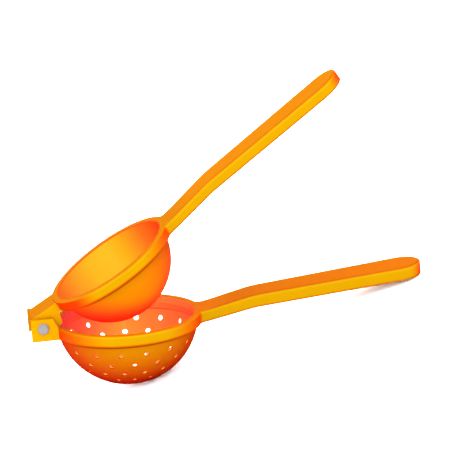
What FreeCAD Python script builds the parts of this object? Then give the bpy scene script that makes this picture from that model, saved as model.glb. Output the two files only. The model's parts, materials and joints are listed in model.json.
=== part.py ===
import FreeCAD, Part
import Sketcher
import math
import os

# Hand citrus press (lemon squeezer), in millimetres, +Z up.
#
# A lower half carries a thin perforated bowl in a ring with a handle and two hinge ears.
# An upper half carries a thin pressing dome in a smaller ring with a handle and a hinge lug.
# The lug turns on a headed steel pin between the ears, on two flanged bushes.
#
# Each half is drawn about the axis of its own ring: z = 0 is the top of the rim, +X runs to
# the handle's end, and the hinge axis is parallel to Y on the -X side. The placements then put
# both halves about the hinge, open by rest_angle, and lay the press on z = 0, where it rests
# on the bottom of its bowl and on the end of its lower handle.

DIMENSIONS = [
    ("rest_angle", 30.0, "opening of the halves as stored, from rims parallel"),
    # lower ring and bowl
    ("bore_radius", 40.0, "lower ring, inside"),
    ("ring_wall", 4.0, "lower ring, wall"),
    ("band_depth", 6.9, "height of the lower ring's band"),
    ("collar_wall", 1.4, "wall of the bowl's collar, under a ledge in the ring"),
    ("bowl_bulge", 2.3, "outside of the bowl past the ring's bore"),
    ("bowl_rise", 1.5, "centre of the bowl above the rim"),
    ("bowl_wall", 1.2, "wall of the bowl"),
    # juice holes
    ("hole_radius", 1.55, "juice hole"),
    ("hole_count", 16, "juice holes in each full row"),
    ("first_row", 21.0, "first row, degrees below the bowl's centre"),
    ("row_step", 11.0, "degrees between rows"),
    ("row_turn", 9.75, "turn of the odd rows about the ring's axis"),
    ("inner_row", 77.0, "small row round the bottom, degrees below the centre"),
    ("inner_count", 8, "juice holes in the small row"),
    # upper ring and dome
    ("rind_gap", 3.1, "between the dome and the lower ring's bore, for the rind"),
    ("press_wall", 3.7, "upper ring, wall"),
    ("press_depth", 6.3, "height of the upper ring's band"),
    ("dome_skirt", 0.3, "straight stretch of the dome below its rim"),
    ("dome_wall", 1.0, "wall of the dome"),
    ("dome_lip", 0.6, "rounding inside the dome's rim"),
    # where the two rings sit about the hinge, halves closed
    ("hinge_gap", 6.8, "hinge axis to the lower ring's outside"),
    ("lower_drop", 0.8, "lower rim below the hinge axis"),
    ("press_shift", 3.2, "upper ring's axis past the lower ring's, towards the handles"),
    ("rim_gap", 2.8, "between the upper band and the lower rim"),
    # handles
    ("root_width", 21.8, "width of a handle where it leaves its ring"),
    ("root_round", 4.0, "round between a ring and the side of its handle"),
    ("end_radius", 13.2, "round end of a handle, seen from above"),
    ("handle_reach", 131.9, "lower ring's outside to the ends of the handles"),
    ("lower_neck", 30.8, "lower ring's outside to the bend of its handle"),
    ("lower_thick", 7.6, "lower handle, upright thickness"),
    ("knee_rise", 6.6, "top of the lower handle's bend above the lower rim"),
    ("end_rise", 14.5, "top of the lower handle's end above the lower rim"),
    ("upper_neck", 33.1, "upper ring's outside to the bend of its handle"),
    ("upper_thick", 6.6, "upper handle, upright thickness"),
    ("knee_gap", 2.5, "between the closed handles at the bend"),
    ("end_gap", 3.6, "between the closed handles at their ends"),
    ("bend_round", 60.0, "rounding of the bends along a handle"),
    ("top_round", 0.8, "rounding of the upper outer edges"),
    ("under_round", 0.5, "rounding of the lower outer edges"),
    ("bore_round", 0.4, "rounding inside the lower rim"),
    # hinge
    ("pin_radius", 2.0, "shaft of the hinge pin"),
    ("head_width", 1.35, "head of the pin, and its cap, past the shaft"),
    ("head_bevel", 0.65, "bevel round the flat of the head"),
    ("head_edge", 0.8, "straight edge of the head"),
    ("head_height", 1.7, "head of the pin"),
    ("cap_height", 2.2, "cap on the pin's far end"),
    ("cap_cover", 0.7, "end wall of the cap"),
    ("pin_gap", 0.1, "pin's far end short of the cap's end wall"),
    ("bush_gap", 0.05, "running clearance between the pin and a bush"),
    ("bush_wall", 0.95, "wall of a bush"),
    ("bush_length", 9.0, "part of a bush inside the lug"),
    ("flange_width", 1.6, "flange of a bush past its outside"),
    ("flange_thick", 0.6, "flange of a bush"),
    ("side_gap", 0.1, "running clearance between a flange and an ear"),
    ("lug_width", 20.6, "lug between the flanges"),
    ("ear_thick", 2.5, "each hinge ear"),
    ("ear_back", 7.0, "ears behind the hinge axis"),
    ("ear_top", 5.7, "ears above the hinge axis"),
    ("ear_flat", 6.0, "flat top of the ears before the hinge axis"),
    ("lug_back", 7.0, "lug behind the hinge axis"),
    ("lug_shoulder", 2.2, "top of the lug starts behind the hinge axis"),
    ("lug_corner", 2.5, "slanted back of the lug meets its upright back"),
    ("lug_under", 4.6, "lug below the hinge axis"),
    ("lug_nose", 0.2, "lower front corner of the lug past the lower ring's wall"),
    ("lug_step", 0.4, "top of the lug below the rim"),
    ("lug_gap", 0.6, "ledge under the closed lug"),
    # how the press lies, worked out below from the dimensions above
    ("lie_angle", 0.0, "handle end down"),
    ("stand_x", 0.0, "hinge axis from the middle of the press"),
    ("stand_z", 0.0, "hinge axis above the table"),
]

# Sizes that follow from the driving ones.
RING_RADIUS = "(dims.bore_radius + dims.ring_wall)"
BOWL_RADIUS = "(dims.bore_radius + dims.bowl_bulge)"
DOME_RADIUS = "(dims.bore_radius - dims.rind_gap)"
PRESS_RADIUS = "(" + DOME_RADIUS + " + dims.press_wall)"
LOWER_REACH = "(" + RING_RADIUS + " + dims.hinge_gap)"
UPPER_REACH = "(" + LOWER_REACH + " + dims.press_shift)"
UPPER_LIFT = "(dims.rim_gap + dims.press_depth - dims.lower_drop)"
LOWER_KNEE = "(" + RING_RADIUS + " + dims.lower_neck)"
LOWER_END = "(" + RING_RADIUS + " + dims.handle_reach)"
UPPER_KNEE = "(" + PRESS_RADIUS + " + dims.upper_neck)"
UPPER_END = "(" + LOWER_END + " - dims.press_shift)"
UPPER_STEP = "(dims.upper_thick - dims.lower_drop - " + UPPER_LIFT + ")"
UPPER_KNEE_RISE = "(dims.knee_rise + dims.knee_gap + " + UPPER_STEP + ")"
UPPER_END_RISE = "(dims.end_rise + dims.end_gap + " + UPPER_STEP + ")"
SEAT_DEPTH = "(dims.lug_under - dims.lower_drop + dims.lug_gap)"
EAR_INSIDE = "(dims.lug_width / 2 + dims.flange_thick + dims.side_gap)"
EAR_OUTSIDE = "(" + EAR_INSIDE + " + dims.ear_thick)"
BUSH_BORE = "(dims.pin_radius + dims.bush_gap)"
BUSH_RADIUS = "(" + BUSH_BORE + " + dims.bush_wall)"
FLANGE_RADIUS = "(" + BUSH_RADIUS + " + dims.flange_width)"
HEAD_RADIUS = "(dims.pin_radius + dims.head_width)"
HEAD_FLAT = "(" + HEAD_RADIUS + " - dims.head_bevel)"

SPARE = 5.0          # how far a cutting outline runs past the piece it cuts

os.makedirs("parts", exist_ok=True)
doc = FreeCAD.newDocument("citrus_press")
sheet = doc.addObject("Spreadsheet::Sheet", "dims")


def set_dimension(name, number):
    """Write one driving dimension into its cell."""
    row = [entry[0] for entry in DIMENSIONS].index(name) + 1
    sheet.set("B%d" % row, repr(float(number)))


for row, (name, number, note) in enumerate(DIMENSIONS, 1):
    sheet.set("A%d" % row, name)
    sheet.set("B%d" % row, str(number))
    sheet.set("C%d" % row, note)
    sheet.setAlias("B%d" % row, name)
doc.recompute()


def value(expression):
    """The number that an expression on the sheet gives now."""
    return float(sheet.evalExpression(expression))


# ---------------------------------------------------------------- bodies, planes and sketches

def new_body(name):
    body = doc.addObject("PartDesign::Body", name)
    body.Label = name
    return body


def origin_feature(body, role):
    return [item for item in body.Origin.OriginFeatures if item.Role == role][0]


def new_sketch(body, name, plane):
    sketch = body.newObject("Sketcher::SketchObject", name)
    sketch.AttachmentSupport = [(origin_feature(body, plane), "")]
    sketch.MapMode = "FlatFace"
    return sketch


def point(x, y):
    return FreeCAD.Vector(x, y, 0)


def constrain(sketch, rules):
    """Add rules (kind, references, size) in one go; a size is an expression, or None."""
    constraints = []
    for kind, references, size in rules:
        number = [] if size is None else [value(size)]
        constraints.append(Sketcher.Constraint(kind, *references, *number))
    indices = sketch.addConstraint(constraints)
    for index, (kind, references, size) in zip(indices, rules):
        if size is not None:
            sketch.setExpression("Constraints[%d]" % index, size)
    doc.recompute()
    if sketch.solve() != 0 or not sketch.FullyConstrained:
        raise RuntimeError("%s is not fully constrained" % sketch.Name)


def at_point(item, end, x, y):
    """Rules that hold a point at (x, y), two expressions."""
    across = ("PointOnObject", (item, end, -2), None)
    if x != "0":
        across = ("DistanceX", (-1, 1, item, end), x)
    along = ("PointOnObject", (item, end, -1), None)
    if y != "0":
        along = ("DistanceY", (-1, 1, item, end), y)
    return [across, along]


def outline(sketch, corners):
    """Draw a closed outline through corners (x, y) or (x, y, rounding), all expressions.

    Returns the rules that hold it.
    """
    count = len(corners)
    at = [point(value(corner[0]), value(corner[1])) for corner in corners]
    starts, ends, arcs = list(at), list(at), {}
    for i, corner in enumerate(corners):
        if len(corner) == 3:
            radius = value(corner[2])
            back = (at[i - 1] - at[i]).normalize()
            ahead = (at[(i + 1) % count] - at[i]).normalize()
            half = back.getAngle(ahead) / 2
            middle = at[i] + (back + ahead).normalize() * (radius / math.sin(half))
            ends[i] = at[i] + back * (radius / math.tan(half))
            starts[i] = at[i] + ahead * (radius / math.tan(half))
            turns_left = back.cross(ahead).z < 0
            first, last = (ends[i], starts[i]) if turns_left else (starts[i], ends[i])
            arcs[i] = (arc_between(middle, radius, first, last), turns_left)
    lines = [
        sketch.addGeometry(Part.LineSegment(starts[i], ends[(i + 1) % count]), False)
        for i in range(count)
    ]
    rules = []
    for i, corner in enumerate(corners):
        before, after = lines[i - 1], lines[i]
        if i not in arcs:
            rules.append(("Coincident", (before, 2, after, 1), None))
            rules += at_point(after, 1, corner[0], corner[1])
            continue
        curve, turns_left = arcs[i]
        arc = sketch.addGeometry(curve, False)
        mark = sketch.addGeometry(Part.Point(at[i]), True)
        rules += [
            ("Tangent", (before, 2, arc, 1 if turns_left else 2), None),
            ("Tangent", (after, 1, arc, 2 if turns_left else 1), None),
            ("Radius", (arc,), corner[2]),
            ("PointOnObject", (mark, 1, before), None),
            ("PointOnObject", (mark, 1, after), None),
        ]
        rules += at_point(mark, 1, corner[0], corner[1])
    return rules


def arc_between(middle, radius, first, last):
    """The arc about middle that runs anticlockwise from first to last."""
    begin = math.atan2(first.y - middle.y, first.x - middle.x)
    finish = math.atan2(last.y - middle.y, last.x - middle.x)
    if finish < begin:
        finish += 2 * math.pi
    circle = Part.Circle(middle, FreeCAD.Vector(0, 0, 1), radius)
    return Part.ArcOfCircle(circle, begin, finish)


def arc_about(x, y, radius, first, last):
    circle = Part.Circle(point(x, y), FreeCAD.Vector(0, 0, 1), radius)
    return Part.ArcOfCircle(circle, math.radians(first), math.radians(last))


def check(feature):
    """Recompute, and stop if the feature failed."""
    doc.recompute()
    if "Invalid" in feature.State or "Error" in feature.State or feature.Shape.isNull():
        raise RuntimeError("%s failed: %s" % (feature.Name, feature.State))
    return feature


def symmetric(body, kind, name, sketch, length):
    """A Pad or Pocket of the given length, half on each side of its sketch."""
    feature = body.newObject("PartDesign::" + kind, name)
    feature.Profile = sketch
    feature.Midplane = True
    feature.setExpression("Length", length)
    return check(feature)


def turned(body, kind, name, sketch, axis="Z_Axis"):
    """A full Revolution or Groove about one of the body's axes."""
    feature = body.newObject("PartDesign::" + kind, name)
    feature.Profile = sketch
    feature.ReferenceAxis = (origin_feature(body, axis), [""])
    feature.Angle = 360
    return check(feature)


def fillet(body, name, base, edges, radius):
    feature = body.newObject("PartDesign::Fillet", name)
    feature.Base = (base, edges)
    feature.setExpression("Radius", radius)
    return check(feature)


def edges_where(shape, test):
    return ["Edge%d" % i for i, edge in enumerate(shape.Edges, 1) if test(edge)]


def steepness(face, where):
    """Upward part of a face's outward normal near a point."""
    u, v = face.Surface.parameter(where)
    return face.normalAt(u, v).z


def outer_edges(shape, side):
    """Edges between an upright wall and the top (side 1) or the underside (side -1)."""
    def test(edge):
        middle = edge.valueAt((edge.FirstParameter + edge.LastParameter) / 2)
        slopes = [steepness(face, middle) for face in shape.ancestorsOfType(edge, Part.Face)]
        return any(slope * side > 0.7 for slope in slopes) and min(map(abs, slopes)) < 0.1
    return edges_where(shape, test)


# ---------------------------------------------------------------- placements

TURN = "create(<<rotation>>; create(<<vector>>; 0; 1; 0); %s)"
MOVE = "create(<<vector>>; %s; 0; %s)"
PLACE = "create(<<placement>>; " + MOVE + "; " + TURN + ")"
LYING = PLACE % ("dims.stand_x", "dims.stand_z", "dims.lie_angle")
OPENED = PLACE % ("0", "0", "-dims.rest_angle")
LOWER_RING = PLACE % (LOWER_REACH, "-dims.lower_drop", "0")
UPPER_RING = PLACE % (UPPER_REACH, UPPER_LIFT, "0")

LOWER_PLACE = LYING + " * " + LOWER_RING
UPPER_PLACE = LYING + " * " + OPENED + " * " + UPPER_RING
LOWER_HINGE = LYING
UPPER_HINGE = LYING + " * " + OPENED


# ---------------------------------------------------------------- ring with its handle

def draw_plan(sketch, ring, end):
    """Ring and handle from above: ring arc, two rounds, two straight sides, round end."""
    radius, far = value(ring), value(end)
    blend, tip = value("dims.root_round"), value("dims.end_radius")
    half_root = value("dims.root_width") / 2
    x_blend = math.sqrt((radius + blend) ** 2 - (half_root + blend) ** 2)
    turn = math.degrees(math.atan2(half_root + blend, x_blend))
    y_blend = half_root + blend
    rim = sketch.addGeometry(arc_about(0, 0, radius, turn, 360 - turn), False)
    round_low = sketch.addGeometry(arc_about(x_blend, -y_blend, blend, 90, 180 - turn), False)
    low = sketch.addGeometry(
        Part.LineSegment(point(x_blend, -half_root), point(far - tip, -tip)), False)
    nose = sketch.addGeometry(arc_about(far - tip, 0, tip, -90, 90), False)
    high = sketch.addGeometry(
        Part.LineSegment(point(far - tip, tip), point(x_blend, half_root)), False)
    round_high = sketch.addGeometry(arc_about(x_blend, y_blend, blend, 180 + turn, 270), False)
    joints = [(rim, 2, round_low, 2), (round_low, 1, low, 1), (low, 2, nose, 1),
              (nose, 2, high, 1), (high, 2, round_high, 2), (round_high, 1, rim, 1)]
    constrain(sketch, [("Tangent", joint, None) for joint in joints] + [
        ("Coincident", (rim, 3, -1, 1), None),
        ("PointOnObject", (nose, 3, -1), None),
        ("Equal", (round_low, round_high), None),
        ("Radius", (rim,), ring),
        ("Radius", (round_low,), "dims.root_round"),
        ("Radius", (nose,), "dims.end_radius"),
        ("DistanceX", (-1, 1, nose, 3), end + " - dims.end_radius"),
        ("DistanceY", (-1, 1, high, 2), "dims.root_width / 2"),
        ("DistanceY", (-1, 1, low, 1), "-dims.root_width / 2"),
    ])


def ring_and_handle(body, ring, band, knee, rise, end, end_rise, thick):
    """The plan outline padded, cut to the side outline and rounded along its outer edges."""
    spare = "%g" % SPARE
    tall = end_rise + " + " + thick + " + " + band

    plan = new_sketch(body, body.Name + "_plan", "XY_Plane")
    draw_plan(plan, ring, end)
    symmetric(body, "Pad", body.Name + "_blank", plan, "2 * (" + tall + ")")

    slope = "(%s - %s) / (%s - %s)" % (end_rise, rise, end, knee)
    beyond = end + " + " + spare
    beyond_rise = "%s + %s * %s" % (end_rise, slope, spare)
    side = new_sketch(body, body.Name + "_side", "XZ_Plane")
    bar = outline(side, [
        ("-%s - %s" % (ring, spare), "0"),
        (ring, "0", "dims.bend_round"),
        (knee, rise, "dims.bend_round"),
        (beyond, beyond_rise),
        (beyond, beyond_rise + " - " + thick),
        (knee, rise + " - " + thick, "dims.bend_round"),
        (ring, "-" + band, "dims.bend_round"),
        ("-%s - %s" % (ring, spare), "-" + band),
    ])
    edge_x = "-%s - 2 * %s" % (ring, spare)
    far_x = end + " + 2 * " + spare
    frame = outline(side, [
        (edge_x, "-(" + tall + ") - " + spare),
        (far_x, "-(" + tall + ") - " + spare),
        (far_x, tall + " + " + spare),
        (edge_x, tall + " + " + spare),
    ])
    constrain(side, bar + frame)
    shaped = symmetric(body, "Pocket", body.Name + "_shaped", side, "4 * " + ring)
    above = fillet(body, body.Name + "_top_edge", shaped,
                   outer_edges(shaped.Shape, 1), "dims.top_round")
    fillet(body, body.Name + "_under_edge", above,
           outer_edges(above.Shape, -1), "dims.under_round")


def dome_outline(sketch, centre, radius):
    """Half of a round-ended plug on the Z axis: straight to centre, then a quarter circle."""
    z, size = value(centre), value(radius)
    top = sketch.addGeometry(Part.LineSegment(point(0, SPARE), point(size, SPARE)), False)
    wall = sketch.addGeometry(Part.LineSegment(point(size, SPARE), point(size, z)), False)
    curve = sketch.addGeometry(arc_about(0, z, size, -90, 0), False)
    axis = sketch.addGeometry(Part.LineSegment(point(0, z - size), point(0, SPARE)), False)
    constrain(sketch, [
        ("Coincident", (top, 2, wall, 1), None),
        ("Tangent", (wall, 2, curve, 2), None),
        ("Coincident", (curve, 1, axis, 1), None),
        ("Coincident", (axis, 2, top, 1), None),
        ("Horizontal", (top,), None),
        ("Vertical", (wall,), None),
        ("PointOnObject", (axis, 1, -2), None),
        ("PointOnObject", (axis, 2, -2), None),
        ("PointOnObject", (curve, 3, -2), None),
        ("Radius", (curve,), radius),
        ("DistanceY", (-1, 1, curve, 3), centre),
        ("DistanceY", (-1, 1, axis, 2), "%g" % SPARE),
    ])


def hinge_hole(body, reach, height, radius):
    """A round hole through the body along the hinge axis."""
    sketch = new_sketch(body, body.Name + "_hinge_hole", "XZ_Plane")
    circle = Part.Circle(point(-value(reach), value(height)), FreeCAD.Vector(0, 0, 1), 1)
    index = sketch.addGeometry(circle, False)
    constrain(sketch, [("Radius", (index,), radius)]
              + at_point(index, 3, "-" + reach, height))
    symmetric(body, "Pocket", body.Name + "_bored", sketch, "4 * " + EAR_OUTSIDE)


# ---------------------------------------------------------------- lower half

def lower_frame():
    body = new_body("lower_frame")
    ring_and_handle(body, RING_RADIUS, "dims.band_depth", LOWER_KNEE, "dims.knee_rise",
                    LOWER_END, "dims.end_rise", "dims.lower_thick")

    def x(distance):
        return "(%s - %s)" % (distance, LOWER_REACH)

    def z(distance):
        return "(%s + dims.lower_drop)" % distance

    # The ears' slanted edges meet the rim where their outsides leave the ring. The notch
    # runs through the rim to the far side of the bore's rounded edge.
    foot = "-sqrt(%s^2 - %s^2)" % (RING_RADIUS, EAR_OUTSIDE)
    front = "(dims.bore_round - sqrt(dims.bore_radius^2 - %s^2))" % EAR_INSIDE
    ears = new_sketch(body, "ear_side", "XZ_Plane")
    rules = outline(ears, [
        (x("-dims.ear_back"), "-dims.band_depth"),
        (front, "-dims.band_depth"),
        (front, "-dims.top_round"),
        (foot, "-dims.top_round"),
        (foot, "0"),
        (x("dims.ear_flat"), z("dims.ear_top")),
        (x("-dims.ear_back"), z("dims.ear_top")),
    ])
    constrain(ears, rules)
    symmetric(body, "Pad", "hinge_block", ears, "2 * " + EAR_OUTSIDE)

    # The slot parts the block into two ears and notches the rim, so that the lug can close.
    wall = x("(dims.hinge_gap - dims.lug_gap)")
    high = z("(dims.ear_top + %g)" % SPARE)
    back = x("(-dims.ear_back - %g)" % SPARE)
    slot = new_sketch(body, "slot_side", "XZ_Plane")
    rules = outline(slot, [
        (back, "-dims.band_depth - %g" % SPARE),
        (wall, "-dims.band_depth - %g" % SPARE),
        (wall, "-" + SEAT_DEPTH),
        (front, "-" + SEAT_DEPTH),
        (front, high),
        (back, high),
    ])
    constrain(slot, rules)
    symmetric(body, "Pocket", "lug_slot", slot, "2 * " + EAR_INSIDE)

    collar = "(dims.bore_radius + dims.collar_wall)"
    deep = "-dims.band_depth - %g" % SPARE
    inside = new_sketch(body, "lower_inside", "XZ_Plane")
    rules = outline(inside, [
        ("0", "%g" % SPARE), ("dims.bore_radius", "%g" % SPARE),
        ("dims.bore_radius", "-" + SEAT_DEPTH), (collar, "-" + SEAT_DEPTH),
        (collar, deep), ("0", deep),
    ])
    constrain(inside, rules)
    bored = turned(body, "Groove", "lower_bore", inside)

    def rim(edge):
        box, bore = edge.BoundBox, value("dims.bore_radius")
        on_bore = abs(math.hypot(edge.Vertexes[0].X, edge.Vertexes[0].Y) - bore) < 0.01
        return on_bore and box.ZLength < 0.01 and abs(box.ZMax) < 0.01
    fillet(body, "bore_edge", bored, edges_where(bored.Shape, rim), "dims.bore_round")

    hinge_hole(body, LOWER_REACH, "dims.lower_drop", "dims.pin_radius")
    return body, LOWER_PLACE


def bowl_section(sketch):
    """Wall of the bowl: an upright collar that runs into a spherical shell."""
    bore, outer = value("dims.bore_radius"), value(BOWL_RADIUS)
    collar = bore + value("dims.collar_wall")
    inner = outer - value("dims.bowl_wall")
    rise, seat = value("dims.bowl_rise"), value(SEAT_DEPTH)
    outside = -math.degrees(math.acos(collar / outer))
    inside = -math.degrees(math.acos(bore / inner))
    low_out = rise - math.sqrt(outer ** 2 - collar ** 2)
    low_in = rise - math.sqrt(inner ** 2 - bore ** 2)
    top = sketch.addGeometry(Part.LineSegment(point(bore, -seat), point(collar, -seat)), False)
    skirt = sketch.addGeometry(
        Part.LineSegment(point(collar, -seat), point(collar, low_out)), False)
    shell = sketch.addGeometry(arc_about(0, rise, outer, -90, outside), False)
    axis = sketch.addGeometry(
        Part.LineSegment(point(0, rise - outer), point(0, rise - inner)), False)
    hollow = sketch.addGeometry(arc_about(0, rise, inner, -90, inside), False)
    bore_wall = sketch.addGeometry(
        Part.LineSegment(point(bore, low_in), point(bore, -seat)), False)
    constrain(sketch, [
        ("Coincident", (top, 2, skirt, 1), None),
        ("Coincident", (skirt, 2, shell, 2), None),
        ("Coincident", (shell, 1, axis, 1), None),
        ("Coincident", (axis, 2, hollow, 1), None),
        ("Coincident", (hollow, 2, bore_wall, 1), None),
        ("Coincident", (bore_wall, 2, top, 1), None),
        ("Horizontal", (top,), None),
        ("Vertical", (skirt,), None),
        ("Vertical", (bore_wall,), None),
        ("PointOnObject", (axis, 1, -2), None),
        ("PointOnObject", (axis, 2, -2), None),
        ("PointOnObject", (shell, 3, -2), None),
        ("Coincident", (shell, 3, hollow, 3), None),
        ("Radius", (shell,), BOWL_RADIUS),
        ("Radius", (hollow,), BOWL_RADIUS + " - dims.bowl_wall"),
        ("DistanceY", (-1, 1, shell, 3), "dims.bowl_rise"),
        ("DistanceX", (-1, 1, bore_wall, 1), "dims.bore_radius"),
        ("DistanceX", (-1, 1, skirt, 1), "dims.bore_radius + dims.collar_wall"),
        ("DistanceY", (-1, 1, top, 1), "-" + SEAT_DEPTH),
    ])


def juice_hole(body, name, turn, below):
    """One short drill through the wall, turned about the axis and tipped below level."""
    drill = body.newObject("PartDesign::SubtractiveCylinder", name)
    drill.AttachmentSupport = [(origin_feature(body, "XY_Plane"), "")]
    drill.MapMode = "FlatFace"
    drill.setExpression("Radius", "dims.hole_radius")
    drill.setExpression("Height", "dims.bowl_wall + 2 * dims.hole_radius")
    drill.setExpression(
        "AttachmentOffset",
        "create(<<placement>>; create(<<vector>>; 0; 0; dims.bowl_rise);"
        " create(<<rotation>>; %s; 90 + %s; 0))"
        " * create(<<placement>>; create(<<vector>>; 0; 0;"
        " %s - dims.bowl_wall - dims.hole_radius); create(<<rotation>>; 0; 0; 0))"
        % (turn, below, BOWL_RADIUS))
    return check(drill)


def hole_row(body, name, turn, below, count):
    """A full row of juice holes round the ring's axis."""
    drill = juice_hole(body, name + "_hole", turn, below)
    row = body.newObject("PartDesign::PolarPattern", name)
    row.Originals = [drill]
    row.Axis = (origin_feature(body, "Z_Axis"), [""])
    row.Angle = 360
    row.setExpression("Occurrences", count)
    body.Tip = row
    check(row)


def strainer_bowl():
    body = new_body("strainer_bowl")
    section = new_sketch(body, "bowl_wall_section", "XZ_Plane")
    bowl_section(section)
    turned(body, "Revolution", "bowl_shell", section)
    for number in range(5):
        stagger = "%d * 180 / dims.hole_count" % (number % 2)
        hole_row(body, "row_%d" % (number + 1), "dims.row_turn - " + stagger,
                 "(dims.first_row + %d * dims.row_step)" % number, "dims.hole_count")
    hole_row(body, "inner_row", "dims.row_turn", "dims.inner_row", "dims.inner_count")
    juice_hole(body, "bottom_hole", "0", "90")
    return body, LOWER_PLACE


# ---------------------------------------------------------------- upper half

def upper_frame():
    body = new_body("upper_frame")
    ring_and_handle(body, PRESS_RADIUS, "dims.press_depth", UPPER_KNEE, UPPER_KNEE_RISE,
                    UPPER_END, UPPER_END_RISE, "dims.upper_thick")

    def x(distance):
        return "(%s - %s)" % (distance, UPPER_REACH)

    def z(distance):
        return "(%s - %s)" % (distance, UPPER_LIFT)

    # The lug reaches into the ring's wall, short of the hole that the dome fills.
    root = "(-%s + 1)" % DOME_RADIUS
    side = new_sketch(body, "lug_side", "XZ_Plane")
    rules = outline(side, [
        (x("-dims.lug_back"), z("-dims.lug_under"), "dims.lug_back - 2"),
        (x("(dims.hinge_gap + dims.ring_wall + dims.lug_nose)"), z("-dims.lug_under"),
         "dims.top_round"),
        ("-" + PRESS_RADIUS, "-dims.press_depth"),
        (root, "-dims.press_depth"),
        (root, "-dims.lug_step"),
        (x("-dims.lug_shoulder"), "-dims.lug_step", "dims.top_round"),
        (x("-dims.lug_back"), z("dims.lug_corner"), "dims.lug_back / 2"),
    ])
    constrain(side, rules)
    symmetric(body, "Pad", "hinge_lug", side, "dims.lug_width")

    seat = new_sketch(body, "dome_seat_section", "XZ_Plane")
    dome_outline(seat, "-dims.dome_skirt", DOME_RADIUS)
    turned(body, "Groove", "dome_seat", seat)

    hinge_hole(body, UPPER_REACH, "-" + UPPER_LIFT, BUSH_RADIUS)
    return body, UPPER_PLACE


def press_dome():
    body = new_body("press_dome")
    section = new_sketch(body, "dome_wall_section", "XZ_Plane")
    outer, inner = value(DOME_RADIUS), value(DOME_RADIUS + " - dims.dome_wall")
    centre = -value("dims.dome_skirt")
    wall = section.addGeometry(Part.LineSegment(point(outer, 0), point(outer, centre)), False)
    shell = section.addGeometry(arc_about(0, centre, outer, -90, 0), False)
    axis = section.addGeometry(
        Part.LineSegment(point(0, centre - outer), point(0, centre - inner)), False)
    hollow = section.addGeometry(arc_about(0, centre, inner, -90, 0), False)
    cup = section.addGeometry(Part.LineSegment(point(inner, centre), point(inner, 0)), False)
    rim = section.addGeometry(Part.LineSegment(point(inner, 0), point(outer, 0)), False)
    constrain(section, [
        ("Tangent", (wall, 2, shell, 2), None),
        ("Coincident", (shell, 1, axis, 1), None),
        ("Coincident", (axis, 2, hollow, 1), None),
        ("Tangent", (hollow, 2, cup, 1), None),
        ("Coincident", (cup, 2, rim, 1), None),
        ("Coincident", (rim, 2, wall, 1), None),
        ("Vertical", (wall,), None),
        ("Vertical", (cup,), None),
        ("PointOnObject", (axis, 1, -2), None),
        ("PointOnObject", (axis, 2, -2), None),
        ("PointOnObject", (shell, 3, -2), None),
        ("Coincident", (shell, 3, hollow, 3), None),
        ("PointOnObject", (wall, 1, -1), None),
        ("PointOnObject", (rim, 1, -1), None),
        ("Radius", (shell,), DOME_RADIUS),
        ("Radius", (hollow,), DOME_RADIUS + " - dims.dome_wall"),
        ("DistanceY", (-1, 1, shell, 3), "-dims.dome_skirt"),
    ])
    shell_body = turned(body, "Revolution", "dome_shell", section)

    def inner_rim(edge):
        box = edge.BoundBox
        return abs(box.ZMax) < 0.01 and box.ZLength < 0.01 and abs(box.XMax - inner) < 0.01
    fillet(body, "dome_rim", shell_body, edges_where(shell_body.Shape, inner_rim),
           "dims.dome_lip")
    return body, UPPER_PLACE


# ---------------------------------------------------------------- hinge

def turned_on_hinge(name, corners, place):
    """A piece turned about the hinge axis from its half section (radius, distance along)."""
    body = new_body(name)
    section = new_sketch(body, name + "_section", "XY_Plane")
    constrain(section, outline(section, corners))
    turned(body, "Revolution", name + "_turned", section, "Y_Axis")
    return body, place


def hinge_pin():
    under_head = "-" + EAR_OUTSIDE
    end = EAR_OUTSIDE + " + dims.cap_height - dims.cap_cover - dims.pin_gap"
    return turned_on_hinge("hinge_pin", [
        ("0", under_head + " - dims.head_height"),
        (HEAD_FLAT, under_head + " - dims.head_height"),
        (HEAD_RADIUS, under_head + " - dims.head_edge"),
        (HEAD_RADIUS, under_head),
        ("dims.pin_radius", under_head),
        ("dims.pin_radius", end),
        ("0", end),
    ], LOWER_HINGE)


def pin_cap():
    inner = EAR_OUTSIDE + " + dims.cap_height - dims.cap_cover"
    return turned_on_hinge("pin_cap", [
        ("dims.pin_radius", EAR_OUTSIDE),
        (HEAD_RADIUS, EAR_OUTSIDE),
        (HEAD_RADIUS, EAR_OUTSIDE + " + dims.head_edge"),
        (HEAD_FLAT, EAR_OUTSIDE + " + dims.cap_height"),
        ("0", EAR_OUTSIDE + " + dims.cap_height"),
        ("0", inner),
        ("dims.pin_radius", inner),
    ], LOWER_HINGE)


def hinge_bush(name, side):
    """A flanged bush pushed into one face of the lug: side -1 is at -Y, 1 at +Y."""
    face = "%d * dims.lug_width / 2" % side
    inner_end = face + " - %d * dims.bush_length" % side
    outer_end = face + " + %d * dims.flange_thick" % side
    return turned_on_hinge(name, [
        (BUSH_BORE, inner_end), (BUSH_RADIUS, inner_end), (BUSH_RADIUS, face),
        (FLANGE_RADIUS, face), (FLANGE_RADIUS, outer_end), (BUSH_BORE, outer_end),
    ], UPPER_HINGE)


# ---------------------------------------------------------------- the whole press

pieces = [
    lower_frame(),
    strainer_bowl(),
    upper_frame(),
    press_dome(),
    hinge_pin(),
    pin_cap(),
    hinge_bush("hinge_bush_front", -1),
    hinge_bush("hinge_bush_back", 1),
]
for body, place in pieces:
    body.setExpression("Placement", place)

# The press lies on the bottom of its bowl and the end of its lower handle: the line that
# touches the bowl from below and passes through the handle's lower end becomes level.
end_x = value(LOWER_END)
end_z = value("dims.end_rise - dims.lower_thick - dims.bowl_rise")
touch = math.asin(value(BOWL_RADIUS) / math.hypot(end_x, end_z))
set_dimension("lie_angle", math.degrees(touch + math.atan2(end_z, end_x)))
doc.recompute()

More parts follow.
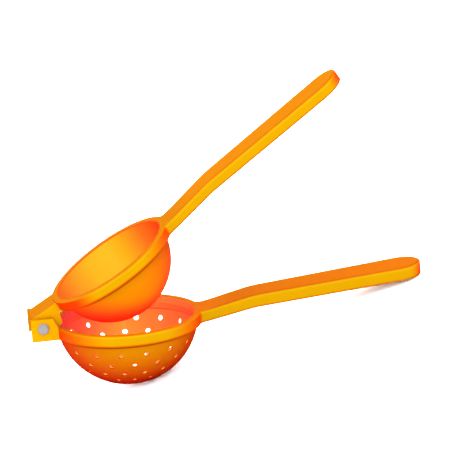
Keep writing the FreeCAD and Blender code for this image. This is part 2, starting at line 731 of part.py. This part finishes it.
# The origin is on the table, under the middle of the press.
boxes = [body.Shape.optimalBoundingBox() for body, place in pieces]
middle = (min(box.XMin for box in boxes) + max(box.XMax for box in boxes)) / 2
set_dimension("stand_x", -middle)
set_dimension("stand_z", -min(box.ZMin for box in boxes))
doc.recompute()

for item in doc.Objects:
    if "Invalid" in item.State or "Error" in item.State:
        raise RuntimeError("%s failed: %s" % (item.Name, item.State))
for body, place in pieces:
    shape = body.Shape
    if shape.isNull() or not shape.isValid() or len(shape.Solids) != 1:
        raise RuntimeError("%s is not one valid solid" % body.Label)
    shape.exportStep("parts/%s.step" % body.Label)
    print("%-18s %9.1f mm3" % (body.Label, shape.Volume))
hinge = [value("dims.stand_x"), value("dims.stand_z"), value("dims.lie_angle")]
print("hinge axis at x %.3f z %.3f, lying at %.3f degrees" % tuple(hinge))
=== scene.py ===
import bpy
import json
import math
from mathutils import Matrix, Vector

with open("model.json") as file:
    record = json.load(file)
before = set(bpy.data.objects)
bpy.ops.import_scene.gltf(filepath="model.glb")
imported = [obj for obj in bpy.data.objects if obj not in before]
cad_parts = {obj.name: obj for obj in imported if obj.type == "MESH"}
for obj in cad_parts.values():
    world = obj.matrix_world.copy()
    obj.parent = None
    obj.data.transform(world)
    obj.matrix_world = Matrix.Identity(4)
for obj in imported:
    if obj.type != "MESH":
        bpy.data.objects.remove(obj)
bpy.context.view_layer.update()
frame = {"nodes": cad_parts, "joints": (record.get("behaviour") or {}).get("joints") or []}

# ---------------------------------------------------------------- sizes and places, in metres

MM = 0.001
LIE = math.radians(15.666)           # lower half, handle end down
REST = math.radians(30.0)            # opening of the halves at rest
HINGE = Vector(frame["joints"][0]["pos_m"])
BOWL_CENTRE = (50.8 * MM, 0.7 * MM)  # from the hinge: along the lower half, and above it
DOME_CENTRE = (54.0 * MM, 8.0 * MM)  # from the hinge: along the upper half, and above it
BAND_LINE = 9.1 * MM                 # painted shade line under the lower band, below the bowl's centre
BOWL_CREASE = 9.5 * MM               # painted shade in the crease where the bowl leaves the ring, below its centre
DOME_LINE = 7.4 * MM                 # painted shade line under the upper band, below the dome's centre
DOME_CREASE = 0.0                    # painted shade in the crease at the edge of the dome's seat, at its centre's height
BOWL_SHELL = 41.7 * MM               # between the bowl's two faces, from its centre
DOME_SHELL = 36.4 * MM               # between the dome's two faces, from its centre

# Distances from the hinge along a half, where a painted light or shade colour of its frame starts
# and is full.
ROOT = (120 * MM, 95 * MM)           # the handle's root, towards the ring, whose top paint is set for the light it gets
HANDLE = (96 * MM, 104 * MM)         # the handle, where its top has painted shade and highlight lines along its edges
CHEEK = (18 * MM, 12 * MM)           # the sides of the ears and the lug, with painted light
BEHIND = (2 * MM, -4 * MM)           # behind the hinge, where the painted shade of turned faces is orange
RING_WALL = (-30 * MM, -36 * MM)     # how far a ring's inner wall faces its centre, for its painted light and shade

AIM = Vector((15.12, 0.62, 70.22)) * MM
DISTANCE = 3.5288
AZIMUTH = math.radians(-1.269)
ELEVATION = math.radians(16.566)
ROLL = math.radians(20.919)
LENS = 480.0
SENSOR = 36.0
FAR = 100.0
FLOOR_SIDE = 30.0


class Half:
    """Directions and a centre of one half of the press, in the row frame at rest."""

    def __init__(self, tilt, centre):
        turn = Matrix.Rotation(tilt, 3, "Y")
        self.along = turn @ Vector((1, 0, 0))
        self.up = turn @ Vector((0, 0, 1))
        self.centre = HINGE + turn @ Vector((centre[0], 0, centre[1]))


LOWER = Half(LIE, BOWL_CENTRE)
UPPER = Half(LIE - REST, DOME_CENTRE)
SIDEWAYS = Vector((0, 1, 0))


# ---------------------------------------------------------------- strength of light and paint

# The sky is SKY times as bright as white, so that the floor shows plain white, shadows and
# all. A face in the open therefore shows its colour when it is painted with OPEN of it,
# about one part in SKY. Every other share is for a place that gets more or less of that
# light in the rest pose. So these paints are darker than the enamel: in a scene with plain
# light, all of them would have to be multiplied by about SKY.
SKY = 4.8
KEY = 24.0            # watts of the soft panel in front
OPEN = 0.208
TOP = 0.226           # tops of the handles, and the painted highlight line along them
LOWER_ROOT = 0.27     # top of the lower handle's root, in the upper half's shade
UPPER_ROOT = 0.205    # top of the upper handle's root
TURNED = 0.25         # ends of the bands, with painted shade, and the ears' and lug's sides, with painted light
UNDER_BAND = 0.236    # outside of the bowl, near the band
IN_BOWL = 0.64        # inside the bowl and its ring, under the dome
IN_DOME = 0.335       # inside the dome
UNDER_DOME = 0.62     # the dome's underside, over the bowl
HIDDEN_DOME = 0.7     # the part of that underside towards the hinge, with its painted shade


def linear(code):
    """Linear colour of a six-digit hex code."""
    parts = [int(code[i:i + 2], 16) / 255 for i in (0, 2, 4)]
    return [p / 12.92 if p <= 0.04045 else ((p + 0.055) / 1.055) ** 2.4 for p in parts] + [1]


def paint(code, share):
    """The linear colour that shows as a hex code where this share of it is enough."""
    return [channel * share for channel in linear(code)[:3]] + [1]


# ---------------------------------------------------------------- material building blocks

class Shader:
    """A material whose nodes are made by short calls; each returns an output socket."""

    def __init__(self, name):
        self.material = bpy.data.materials.new(name)
        self.material.use_nodes = True
        self.tree = self.material.node_tree
        self.surface = self.tree.nodes["Principled BSDF"]
        self.place = self.node("ShaderNodeTexCoord")

    def node(self, kind, **settings):
        made = self.tree.nodes.new(kind)
        for key, setting in settings.items():
            setattr(made, key, setting)
        return made

    def feed(self, socket, source):
        if isinstance(source, bpy.types.NodeSocket):
            self.tree.links.new(source, socket)
        else:
            socket.default_value = source

    def maths(self, operation, *sources):
        made = self.node("ShaderNodeMath", operation=operation)
        for socket, source in zip(made.inputs, sources):
            self.feed(socket, source)
        return made.outputs[0]

    def vector_maths(self, operation, *sources):
        made = self.node("ShaderNodeVectorMath", operation=operation)
        for socket, source in zip(made.inputs, sources):
            self.feed(socket, source)
        return made

    def dot(self, a, b):
        return self.vector_maths("DOT_PRODUCT", a, b).outputs["Value"]

    def normal_along(self, direction):
        """How far the surface faces a direction, from -1 to 1."""
        return self.dot(self.place.outputs["Normal"], tuple(direction))

    def softened_along(self, direction, radius):
        """The same, with every edge eased over a radius."""
        eased = self.node("ShaderNodeBevel", samples=8)
        eased.inputs["Radius"].default_value = radius
        turned = self.node("ShaderNodeVectorTransform", vector_type="NORMAL",
                           convert_from="WORLD", convert_to="OBJECT")
        self.feed(turned.inputs[0], eased.outputs[0])
        return self.dot(turned.outputs[0], tuple(direction))

    def end_to_end(self, half):
        """Inside a ring, 0 on the wall at the handle's end, 1 on the one at the hinge."""
        return self.maths("MULTIPLY_ADD", self.normal_along(half.along), 0.5, 0.5)

    def from_point(self, centre):
        """Vector from a fixed point to the shaded point."""
        return self.vector_maths("SUBTRACT", self.place.outputs["Object"],
                                 tuple(centre)).outputs[0]

    def spread(self, source, low, high):
        """0 at low, 1 at high, eased between them; high may be the smaller number."""
        made = self.node("ShaderNodeMapRange", clamp=True, interpolation_type="SMOOTHSTEP")
        self.feed(made.inputs["Value"], source)
        made.inputs["From Min"].default_value = low
        made.inputs["From Max"].default_value = high
        return made.outputs[0]

    def near(self, source, middle, reach):
        """1 at the middle value, 0 at reach away from it."""
        gap = self.maths("ABSOLUTE", self.maths("SUBTRACT", source, middle))
        made = self.node("ShaderNodeMapRange", clamp=True, interpolation_type="SMOOTHSTEP")
        self.feed(made.inputs["Value"], gap)
        made.inputs["From Max"].default_value = reach
        made.inputs["To Min"].default_value = 1
        made.inputs["To Max"].default_value = 0
        return made.outputs[0]

    def both(self, a, b):
        """1 only where both are 1."""
        return self.maths("MULTIPLY", a, b)

    def ramp(self, source, stops, share):
        """Colour ramp through (place, hex code) stops over 0..1, each times a share."""
        made = self.node("ShaderNodeValToRGB")
        colours = made.color_ramp.elements
        while len(colours) < len(stops):
            colours.new(1.0)
        for element, (place, code) in zip(colours, stops):
            element.position = place
            element.color = paint(code, share)
        self.feed(made.inputs["Fac"], source)
        return made.outputs["Color"]

    def mix(self, share, a, b):
        made = self.node("ShaderNodeMix", data_type="RGBA")
        for socket, source in zip((made.inputs[0], made.inputs[6], made.inputs[7]),
                                  (share, a, b)):
            self.feed(socket, source)
        return made.outputs[2]

    def noise(self, size, detail):
        """Noise of about the given grain size."""
        made = self.node("ShaderNodeTexNoise")
        self.feed(made.inputs["Vector"], self.place.outputs["Object"])
        made.inputs["Scale"].default_value = 1 / size
        made.inputs["Detail"].default_value = detail
        return made.outputs["Fac"]

    def roughness(self, grain, depth, least):
        """Roughness that rises with the grain, from least by depth."""
        self.feed(self.surface.inputs["Roughness"],
                  self.maths("MULTIPLY_ADD", grain, depth, least))

    def bump(self, height, depth):
        made = self.node("ShaderNodeBump")
        made.inputs["Distance"].default_value = depth
        self.feed(made.inputs["Height"], height)
        self.feed(self.surface.inputs["Normal"], made.outputs[0])


def enamel(name, colour_of):
    """Enamel in the colour that colour_of(shader) gives; the coat waves very slightly.

    Its IOR and specular level are low, so that the bright light doesn't wash it out.
    """
    shader = Shader(name)
    colour = colour_of(shader)
    clouds = shader.spread(shader.noise(9 * MM, 3.0), 0.3, 0.7)
    tinted = shader.node("ShaderNodeHueSaturation")
    shader.feed(tinted.inputs["Color"], colour)
    shader.feed(tinted.inputs["Value"], shader.maths("MULTIPLY_ADD", clouds, 0.03, 0.985))
    shader.feed(shader.surface.inputs["Base Color"], tinted.outputs[0])
    grain = shader.noise(1.1 * MM, 2.0)
    shader.roughness(grain, 0.12, 0.3)
    shader.surface.inputs["IOR"].default_value = 1.08
    shader.surface.inputs["Specular IOR Level"].default_value = 0.1
    shader.bump(grain, 0.004 * MM)
    return shader.material


# ---------------------------------------------------------------- enamel of the frames

# Painted light and shade of a frame by which way its face turns: darker orange underneath, a
# painted red shade line on the lower fillets, yellow on upright sides, a painted yellow highlight
# on the upper fillets.
SIDE_TO_TOP_SHADING = [
    (0.00, "F08400"), (0.15, "EE6C00"), (0.28, "EC5000"), (0.40, "F29600"), (0.50, "F4B400"),
    (0.66, "FCCC10"), (0.84, "F6A200"),
]
# Painted light: the handles' tops are orange where the upright sides are yellow.
LOWER_LIT_TOP = "FA8200"
UPPER_LIT_TOP = "F69200"
# A painted shade line along the front edge of the handles' tops, and a painted highlight along
# their back edge.
FRONT_EDGE_SHADE = "E25200"
BACK_EDGE_HIGHLIGHT = "FFC000"
# Painted light: a lighter yellow on the sides of the ears and the lug.
CHEEK_LIGHT_YELLOW = "FFB200"
# Painted shade on faces turned along a half: red at the bands' ends, orange behind the hinge.
BAND_END_SHADE = "FF3C00"
BEHIND_HINGE_SHADE = "FC9206"
# Painted light and shade on a ring's inner wall: orange-red at the handle's end, light orange
# between, pinkish red at the hinge's end.
INSIDE_WALL_SHADING = [(0.0, "FF7440"), (0.2, "FF924C"), (0.5, "FFAC50"), (0.8, "FF7060"),
               (1.0, "FF5860")]


def frame_colour(half, top, root_share, left_end, ring_inside):
    """Painted light and shade by which way a face turns: yellow on upright sides, orange on top,
    darker orange underneath, red shade at band ends.

    The top has a painted shade line along its front edge and a painted highlight along its back
    edge. Both are painted where the photograph has them, so the press's two sides differ. left_end
    is how squarely a face has to look at the hinge to be wholly red, and ring_inside colours the
    ring's inner wall with the painted shade of the bowl's inside.
    """
    def colour_of(shader):
        up = shader.softened_along(half.up, 2.2 * MM)
        along = shader.normal_along(half.along)
        reach = shader.dot(shader.from_point(HINGE), tuple(half.along))
        # Painted light and shade by which way the eased face turns, with orange tops painted for
        # the light at the handle's root.
        body = shader.ramp(shader.maths("MULTIPLY_ADD", up, 0.5, 0.5), SIDE_TO_TOP_SHADING, OPEN)
        flat = shader.mix(shader.spread(reach, *ROOT), paint(top, TOP), paint(top, root_share))
        body = shader.mix(shader.spread(up, 0.78, 0.92), body, flat)

        # Painted shade line along the top's front edge and painted highlight along its back edge.
        over_edge = shader.softened_along(SIDEWAYS, 5 * MM)
        on_top = shader.both(shader.spread(shader.normal_along(half.up), 0.8, 0.95),
                             shader.spread(reach, *HANDLE))
        body = shader.mix(shader.both(on_top, shader.near(over_edge, -0.25, 0.22)),
                          body, paint(FRONT_EDGE_SHADE, OPEN))
        body = shader.mix(shader.both(on_top, shader.spread(over_edge, 0.15, 0.5)),
                          body, paint(BACK_EDGE_HIGHLIGHT, TOP))

        # Painted light on the sides of the ears and the lug.
        sideways = shader.maths("ABSOLUTE", shader.normal_along(SIDEWAYS))
        cheek = shader.both(shader.spread(sideways, 0.8, 0.95), shader.spread(reach, *CHEEK))
        body = shader.mix(cheek, body, paint(CHEEK_LIGHT_YELLOW, TURNED))

        # Painted shade on faces turned along the half: red, or orange behind the hinge.
        turned = shader.maths("ADD", shader.spread(along, 0.4, 1.05),
                              shader.spread(along, -0.3, -left_end))
        turned_colour = shader.mix(shader.spread(reach, *BEHIND),
                                   paint(BAND_END_SHADE, TURNED), paint(BEHIND_HINGE_SHADE, OPEN))
        body = shader.mix(turned, body, turned_colour)
        if not ring_inside:
            return body
        # The ring's inner wall takes the painted light and shade of the bowl's inside.
        facing = shader.dot(shader.place.outputs["Normal"], shader.from_point(half.centre))
        wall = shader.ramp(shader.end_to_end(half), INSIDE_WALL_SHADING, IN_BOWL)
        return shader.mix(shader.spread(facing, *RING_WALL), body, wall)
    return colour_of


# ---------------------------------------------------------------- enamel of bowl and dome

# Painted light and shade of the bowl: outside, red where it turns sideways, darker red underneath,
# orange where it faces front or back; inside, light orange in the middle and red towards its two
# ends.
BOWL_OUTSIDE_SHADING = [(0.0, "FF1C00"), (0.5, "E44C00"), (1.0, "E29000")]
BOWL_UNDERNEATH_SHADING = [(0.0, "D80000"), (0.45, "E01400"), (1.0, "F04C00")]
BOWL_INSIDE_SHADING = [(0.0, "FF6038"), (0.2, "FF8440"), (0.5, "FFB448"), (0.8, "FF704C"),
               (1.0, "FF4450")]
# Painted shade: a dark line under the band, and a darker line in the crease inside.
BOWL_LINE_SHADE = "B82400"
BOWL_CREASE_SHADE = "FF5C44"
# Painted light and shade of the dome: outside, red where it turns sideways and underneath, orange
# where it faces front or back; inside, yellow in the middle and red towards its two ends.
DOME_OUTSIDE_SHADING = [(0.0, "FF3810"), (0.5, "FF6A00"), (1.0, "FA9C00")]
DOME_UNDERNEATH_SHADING = [(0.0, "FF2E1C"), (0.5, "FF4210"), (1.0, "FF7200")]
DOME_INSIDE_SHADING = [(0.0, "FF3C12"), (0.18, "FF7820"), (0.4, "FFBC1C"), (0.5, "FFC828"),
               (0.68, "FFC424"), (0.85, "FFA428"), (1.0, "FF7028")]
# Painted shade: a dark line under the band, a darker line in the crease at the rim, and red on the
# underside towards the hinge.
DOME_LINE_SHADE = "DC4A00"
DOME_CREASE_SHADE = "FF4A10"
DOME_HIDDEN_SHADE = "FF2812"


def shell_colour(half, shell, line, crease, outside, underneath, inside, hidden=None):
    """A shell's colour outside and inside, with painted light and shade by which way its surface
    turns, and a painted shade line at its band and at its crease.

    line and crease are (distance below the centre, hex code of the painted shade), outside,
    underneath and inside are (stops, share), and hidden is the hex code of the painted shade on the
    underside by the hinge.
    """
    def colour_of(shader):
        sideways = shader.maths("ABSOLUTE", shader.normal_along(SIDEWAYS))
        outward = shader.from_point(half.centre)
        away = shader.vector_maths("LENGTH", outward).outputs["Value"]
        height = shader.dot(outward, tuple(half.up))
        down = shader.spread(shader.maths("MULTIPLY", height, -1.0 / shell), 0.25, 1.0)
        # Painted light and shade outside, by which way the surface turns and darker underneath.
        skin = shader.mix(down, shader.ramp(sideways, *outside),
                          shader.ramp(sideways, *underneath))
        # Painted shade on the underside towards the hinge.
        if hidden:
            tucked = shader.normal_along(half.along * -0.6 - half.up * 0.8)
            skin = shader.mix(shader.spread(tucked, 0.35, 0.95), skin,
                              paint(hidden, HIDDEN_DOME))
        # Painted shade line under the band.
        skin = shader.mix(shader.near(height, -line[0], 1.3 * MM), skin, paint(line[1], OPEN))

        # Painted light and shade inside, with a painted shade line in the crease.
        lining = shader.ramp(shader.end_to_end(half), *inside)
        lining = shader.mix(shader.near(height, -crease[0], 0.7 * MM), lining,
                            paint(crease[1], inside[1]))
        is_outside = shader.spread(away, shell - 0.1 * MM, shell + 0.1 * MM)
        return shader.mix(is_outside, lining, skin)
    return colour_of


# ---------------------------------------------------------------- steel and plastic

def steel():
    """Turned steel: fine rings on the flat of the head, a little wear."""
    shader = Shader("turned_steel")
    split = shader.node("ShaderNodeSeparateXYZ")
    shader.feed(split.inputs[0], shader.from_point(HINGE))
    squares = shader.maths("ADD", shader.maths("POWER", split.outputs["X"], 2.0),
                           shader.maths("POWER", split.outputs["Z"], 2.0))
    radius = shader.maths("SQRT", squares)
    rings = shader.maths("SINE", shader.maths("MULTIPLY", radius, 2 * math.pi / (0.25 * MM)))
    wear = shader.noise(1.5 * MM, 3.0)
    shader.feed(shader.surface.inputs["Base Color"],
                shader.mix(wear, paint("CCC2C1", OPEN), paint("DCD4D3", OPEN)))
    shader.surface.inputs["Metallic"].default_value = 0.2
    shader.roughness(wear, 0.2, 0.35)
    shader.bump(rings, 0.004 * MM)
    return shader.material


def plastic():
    """Plain moulded plastic with a fine matt grain."""
    shader = Shader("moulded_plastic")
    grain = shader.noise(0.5 * MM, 3.0)
    shader.feed(shader.surface.inputs["Base Color"],
                shader.mix(grain, paint("D8CDB8", OPEN), paint("E6DCC8", OPEN)))
    shader.roughness(grain, 0.2, 0.5)
    shader.bump(grain, 0.01 * MM)
    return shader.material


# ---------------------------------------------------------------- the pieces get their materials

def dress(node, material):
    """Give a CAD node its material."""
    mesh = frame["nodes"][node].data
    mesh.materials.clear()
    mesh.materials.append(material)


dress("lower_frame", enamel("lower_frame_enamel", frame_colour(
    LOWER, LOWER_LIT_TOP, LOWER_ROOT, left_end=1.05, ring_inside=True)))
dress("upper_frame", enamel("upper_frame_enamel", frame_colour(
    UPPER, UPPER_LIT_TOP, UPPER_ROOT, left_end=0.75, ring_inside=False)))
dress("strainer_bowl", enamel("bowl_enamel", shell_colour(
    LOWER, BOWL_SHELL, (BAND_LINE, BOWL_LINE_SHADE), (BOWL_CREASE, BOWL_CREASE_SHADE),
    (BOWL_OUTSIDE_SHADING, UNDER_BAND), (BOWL_UNDERNEATH_SHADING, OPEN), (BOWL_INSIDE_SHADING, IN_BOWL))))
dress("press_dome", enamel("dome_enamel", shell_colour(
    UPPER, DOME_SHELL, (DOME_LINE, DOME_LINE_SHADE), (DOME_CREASE, DOME_CREASE_SHADE),
    (DOME_OUTSIDE_SHADING, OPEN), (DOME_UNDERNEATH_SHADING, UNDER_DOME), (DOME_INSIDE_SHADING, IN_DOME),
    DOME_HIDDEN_SHADE)))
steel_material = steel()
for node in ("hinge_pin", "pin_cap"):
    dress(node, steel_material)
plastic_material = plastic()
for node in ("hinge_bush_front", "hinge_bush_back"):
    dress(node, plastic_material)


# ---------------------------------------------------------------- floor, light and camera

def floor():
    """A pale paper sheet, wide enough to fill the view, that nothing reflects."""
    mesh = bpy.data.meshes.new("floor")
    corners = [(x * FLOOR_SIDE, y * FLOOR_SIDE, 0) for x, y in ((-1, -1), (1, -1), (1, 1), (-1, 1))]
    mesh.from_pydata(corners, [], [(0, 1, 2, 3)])
    sheet = bpy.data.objects.new("floor", mesh)
    bpy.context.scene.collection.objects.link(sheet)
    shader = Shader("floor_paper")
    shader.feed(shader.surface.inputs["Base Color"],
                shader.mix(shader.noise(400 * MM, 2.0), linear("FBFBFB"), linear("FFFFFF")))
    shader.surface.inputs["Roughness"].default_value = 0.9
    shader.surface.inputs["Specular IOR Level"].default_value = 0.0
    mesh.materials.append(shader.material)
    sheet.visible_glossy = False


def soft_light(name, direction, distance, size, strength):
    """A large round panel at a distance along a direction, aimed at the press."""
    light = bpy.data.lights.new(name, "AREA")
    light.shape = "DISK"
    light.size = size
    light.energy = strength
    lamp = bpy.data.objects.new(name, light)
    lamp.location = AIM + Vector(direction).normalized() * distance
    lamp.rotation_euler = (AIM - lamp.location).to_track_quat("-Z", "Y").to_euler()
    bpy.context.scene.collection.objects.link(lamp)


def camera():
    """A long lens from the front, a little above, turned about its own axis."""
    data = bpy.data.cameras.new("camera")
    data.lens = LENS
    data.sensor_width = SENSOR
    data.clip_end = FAR
    eye = bpy.data.objects.new("camera", data)
    bpy.context.scene.collection.objects.link(eye)
    back = Vector((math.sin(AZIMUTH) * math.cos(ELEVATION),
                   -math.cos(AZIMUTH) * math.cos(ELEVATION), math.sin(ELEVATION)))
    level = Vector((math.cos(AZIMUTH), math.sin(AZIMUTH), 0))
    upright = back.cross(level)
    across = level * math.cos(ROLL) - upright * math.sin(ROLL)
    above = level * math.sin(ROLL) + upright * math.cos(ROLL)
    turn = Matrix((across, above, back)).transposed()
    eye.matrix_world = Matrix.Translation(AIM + back * DISTANCE) @ turn.to_4x4()
    bpy.context.scene.camera = eye


def sky(strength):
    """Even white light from all round, which the enamel doesn't reflect."""
    world = bpy.data.worlds.new("studio")
    world.use_nodes = True
    background = world.node_tree.nodes["Background"]
    background.inputs["Color"].default_value = (1, 1, 1, 1)
    background.inputs["Strength"].default_value = strength
    bpy.context.scene.world = world
    world.cycles_visibility.glossy = False


floor()
sky(SKY)
soft_light("key", (-0.15, -1.0, 0.4), distance=2.5, size=2.4, strength=KEY)
camera()
bpy.context.scene.view_settings.view_transform = "Standard"
